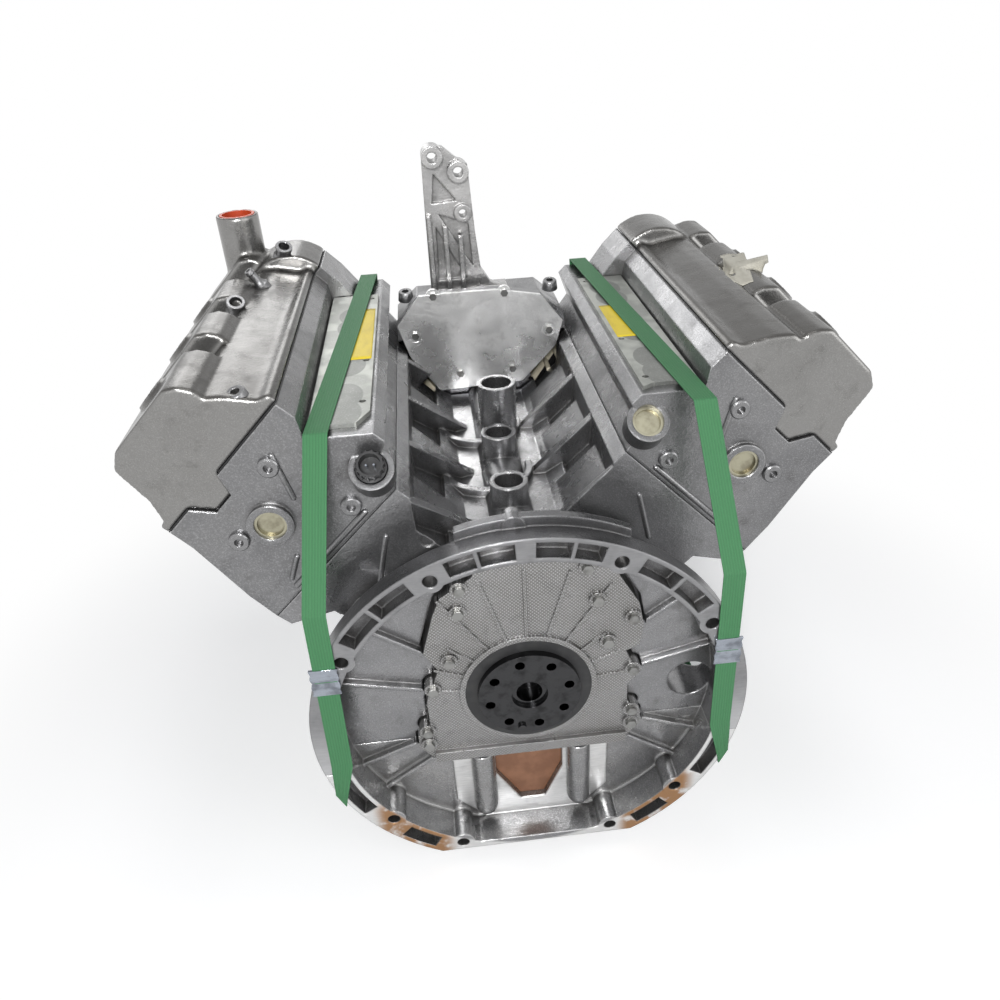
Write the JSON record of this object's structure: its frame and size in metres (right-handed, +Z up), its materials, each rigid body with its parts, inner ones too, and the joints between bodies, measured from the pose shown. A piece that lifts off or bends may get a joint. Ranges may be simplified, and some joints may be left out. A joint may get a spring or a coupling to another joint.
{
  "type": "v-six engine",
  "caption": "Ninety degree V-six long block with bell housing ring, two heads with cam covers, oil pan, valley with bosses, crank flange and shipping straps.",
  "frame": {"origin": "crankshaft axis in the face of the bell housing ring", "axes": "+X to the right seen from the flywheel end, +Y along the crankshaft towards the front, +Z up"},
  "size_m": [0.6548, 0.5195, 0.642],
  "materials": {
    "cast_aluminium": "satin",
    "cast_iron": "matte",
    "steel": "satin",
    "dark_steel": "satin",
    "machined_aluminium": "satin",
    "black_rubber": "matte",
    "brown_cover": "matte",
    "guide_plastic": "matte",
    "gasket_black": "matte",
    "orange_seal": "matte",
    "plug_brass": "satin",
    "black_plastic": "matte",
    "grey_card": "matte",
    "green_strap": "matte"
  },
  "bodies": {
    "engine": {"engine_block": "cast_aluminium", "main_bearing_caps": "cast_iron", "main_bearing_shells": "steel", "rear_seal_cover": "machined_aluminium", "crank_seals": "black_rubber", "oil_pan_upper": "cast_aluminium", "oil_pan_lower": "cast_aluminium", "access_cover": "brown_cover", "timing_cover": "cast_aluminium", "timing_chains": "dark_steel", "chain_guides": "guide_plastic", "valley_end_plate": "machined_aluminium", "accessory_bracket": "cast_aluminium", "cylinder_head_left": "cast_aluminium", "cylinder_head_right": "cast_aluminium", "head_gaskets": "gasket_black", "cam_bearing_caps": "cast_aluminium", "valve_springs": "steel", "cam_cover_left": "cast_aluminium", "cam_cover_right": "cast_aluminium", "cam_cover_gaskets": "gasket_black", "oil_filler_seal": "orange_seal", "core_plugs": "plug_brass", "coolant_sensor": "black_plastic", "cover_screws": "steel", "port_cover_left": "grey_card", "port_cover_right": "grey_card", "straps": "green_strap", "strap_seals": "steel"},
    "crank": {"crankshaft": "dark_steel", "crank_pulley": "dark_steel"},
    "balancer": {"balance_shaft": "steel"},
    "cam_left_intake": {"camshaft_left_intake": "steel"},
    "cam_left_exhaust": {"camshaft_left_exhaust": "steel"},
    "cam_right_intake": {"camshaft_right_intake": "steel"},
    "cam_right_exhaust": {"camshaft_right_exhaust": "steel"},
    "piston_left_1": {"piston_left_1": "machined_aluminium"},
    "rod_left_1": {"rod_left_1": "steel"},
    "piston_left_2": {"piston_left_2": "machined_aluminium"},
    "rod_left_2": {"rod_left_2": "steel"},
    "piston_left_3": {"piston_left_3": "machined_aluminium"},
    "rod_left_3": {"rod_left_3": "steel"},
    "piston_right_1": {"piston_right_1": "machined_aluminium"},
    "rod_right_1": {"rod_right_1": "steel"},
    "piston_right_2": {"piston_right_2": "machined_aluminium"},
    "rod_right_2": {"rod_right_2": "steel"},
    "piston_right_3": {"piston_right_3": "machined_aluminium"},
    "rod_right_3": {"rod_right_3": "steel"},
    "intake_valves_left_1": {"intake_valves_left_1": "steel"},
    "intake_valves_left_2": {"intake_valves_left_2": "steel"},
    "intake_valves_left_3": {"intake_valves_left_3": "steel"},
    "exhaust_valves_left_1": {"exhaust_valves_left_1": "steel"},
    "exhaust_valves_left_2": {"exhaust_valves_left_2": "steel"},
    "exhaust_valves_left_3": {"exhaust_valves_left_3": "steel"},
    "intake_valves_right_1": {"intake_valves_right_1": "steel"},
    "intake_valves_right_2": {"intake_valves_right_2": "steel"},
    "intake_valves_right_3": {"intake_valves_right_3": "steel"},
    "exhaust_valves_right_1": {"exhaust_valves_right_1": "steel"},
    "exhaust_valves_right_2": {"exhaust_valves_right_2": "steel"},
    "exhaust_valves_right_3": {"exhaust_valves_right_3": "steel"}
  },
  "joints": [
    {"name": "crank_turn", "type": "hinge", "parent": "engine", "child": "crank", "pos_m": [0, 0.232, 0], "axis": [0, 1, 0], "continuous": true},
    {"name": "balancer_turn", "type": "hinge", "parent": "engine", "child": "balancer", "pos_m": [0, 0.232, 0.126], "axis": [0, 1, 0], "continuous": true},
    {"name": "cam_left_intake_turn", "type": "hinge", "parent": "engine", "child": "cam_left_intake", "pos_m": [-0.21567, 0.232, 0.27224], "axis": [0, 1, 0], "continuous": true},
    {"name": "cam_left_exhaust_turn", "type": "hinge", "parent": "engine", "child": "cam_left_exhaust", "pos_m": [-0.27224, 0.232, 0.21567], "axis": [0, 1, 0], "continuous": true},
    {"name": "cam_right_intake_turn", "type": "hinge", "parent": "engine", "child": "cam_right_intake", "pos_m": [0.21567, 0.232, 0.27224], "axis": [0, 1, 0], "continuous": true},
    {"name": "cam_right_exhaust_turn", "type": "hinge", "parent": "engine", "child": "cam_right_exhaust", "pos_m": [0.27224, 0.232, 0.21567], "axis": [0, 1, 0], "continuous": true},
    {"name": "piston_left_1_slide", "type": "slide", "parent": "engine", "child": "piston_left_1", "axis": [0.7071, 0, -0.7071], "range_m": [-0.0818, 0.0042]},
    {"name": "rod_left_1_swing", "type": "hinge", "parent": "piston_left_1", "child": "rod_left_1", "pos_m": [-0.07757, 0.112, 0.07757], "axis": [0, 1, 0], "range_deg": [-8.51, 25.16]},
    {"name": "piston_left_2_slide", "type": "slide", "parent": "engine", "child": "piston_left_2", "axis": [0.7071, 0, -0.7071], "range_m": [-0.00733, 0.07867]},
    {"name": "rod_left_2_swing", "type": "hinge", "parent": "piston_left_2", "child": "rod_left_2", "pos_m": [-0.13023, 0.218, 0.13023], "axis": [0, 1, 0], "range_deg": [-8.51, 25.16]},
    {"name": "piston_left_3_slide", "type": "slide", "parent": "engine", "child": "piston_left_3", "axis": [0.7071, 0, -0.7071], "range_m": [-0.04936, 0.03664]},
    {"name": "rod_left_3_swing", "type": "hinge", "parent": "piston_left_3", "child": "rod_left_3", "pos_m": [-0.10051, 0.324, 0.10051], "axis": [0, 1, 0], "range_deg": [-33.66, 0]},
    {"name": "piston_right_1_slide", "type": "slide", "parent": "engine", "child": "piston_right_1", "axis": [-0.7071, 0, -0.7071], "range_m": [-0.00733, 0.07867]},
    {"name": "rod_right_1_swing", "type": "hinge", "parent": "piston_right_1", "child": "rod_right_1", "pos_m": [0.13023, 0.14, 0.13023], "axis": [0, 1, 0], "range_deg": [-8.51, 25.16]},
    {"name": "piston_right_2_slide", "type": "slide", "parent": "engine", "child": "piston_right_2", "axis": [-0.7071, 0, -0.7071], "range_m": [-0.04936, 0.03664]},
    {"name": "rod_right_2_swing", "type": "hinge", "parent": "piston_right_2", "child": "rod_right_2", "pos_m": [0.10051, 0.246, 0.10051], "axis": [0, 1, 0], "range_deg": [-33.66, 0]},
    {"name": "piston_right_3_slide", "type": "slide", "parent": "engine", "child": "piston_right_3", "axis": [-0.7071, 0, -0.7071], "range_m": [-0.0818, 0.0042]},
    {"name": "rod_right_3_swing", "type": "hinge", "parent": "piston_right_3", "child": "rod_right_3", "pos_m": [0.07757, 0.352, 0.07757], "axis": [0, 1, 0], "range_deg": [-8.51, 25.16]},
    {"name": "intake_valves_left_1_lift", "type": "slide", "parent": "engine", "child": "intake_valves_left_1", "axis": [0.574, 0, -0.8188], "range_m": [0, 0.0095]},
    {"name": "intake_valves_left_2_lift", "type": "slide", "parent": "engine", "child": "intake_valves_left_2", "axis": [0.574, 0, -0.8188], "range_m": [0, 0.0095]},
    {"name": "intake_valves_left_3_lift", "type": "slide", "parent": "engine", "child": "intake_valves_left_3", "axis": [0.574, 0, -0.8188], "range_m": [0, 0.0095]},
    {"name": "exhaust_valves_left_1_lift", "type": "slide", "parent": "engine", "child": "exhaust_valves_left_1", "axis": [0.8188, 0, -0.574], "range_m": [0, 0.0095]},
    {"name": "exhaust_valves_left_2_lift", "type": "slide", "parent": "engine", "child": "exhaust_valves_left_2", "axis": [0.8188, 0, -0.574], "range_m": [0, 0.0095]},
    {"name": "exhaust_valves_left_3_lift", "type": "slide", "parent": "engine", "child": "exhaust_valves_left_3", "axis": [0.8188, 0, -0.574], "range_m": [0, 0.0095]},
    {"name": "intake_valves_right_1_lift", "type": "slide", "parent": "engine", "child": "intake_valves_right_1", "axis": [-0.574, 0, -0.8188], "range_m": [0, 0.0095]},
    {"name": "intake_valves_right_2_lift", "type": "slide", "parent": "engine", "child": "intake_valves_right_2", "axis": [-0.574, 0, -0.8188], "range_m": [0, 0.0095]},
    {"name": "intake_valves_right_3_lift", "type": "slide", "parent": "engine", "child": "intake_valves_right_3", "axis": [-0.574, 0, -0.8188], "range_m": [0, 0.0095]},
    {"name": "exhaust_valves_right_1_lift", "type": "slide", "parent": "engine", "child": "exhaust_valves_right_1", "axis": [-0.8188, 0, -0.574], "range_m": [0, 0.0095]},
    {"name": "exhaust_valves_right_2_lift", "type": "slide", "parent": "engine", "child": "exhaust_valves_right_2", "axis": [-0.8188, 0, -0.574], "range_m": [0, 0.0095]},
    {"name": "exhaust_valves_right_3_lift", "type": "slide", "parent": "engine", "child": "exhaust_valves_right_3", "axis": [-0.8188, 0, -0.574], "range_m": [0, 0.0095]}
  ],
  "couplings": [
    {"joint": "balancer_turn", "follows": "crank_turn", "ratio": -1},
    {"joint": "cam_left_intake_turn", "follows": "crank_turn", "ratio": 0.5},
    {"joint": "cam_left_exhaust_turn", "follows": "crank_turn", "ratio": 0.5},
    {"joint": "cam_right_intake_turn", "follows": "crank_turn", "ratio": 0.5},
    {"joint": "cam_right_exhaust_turn", "follows": "crank_turn", "ratio": 0.5}
  ]
}
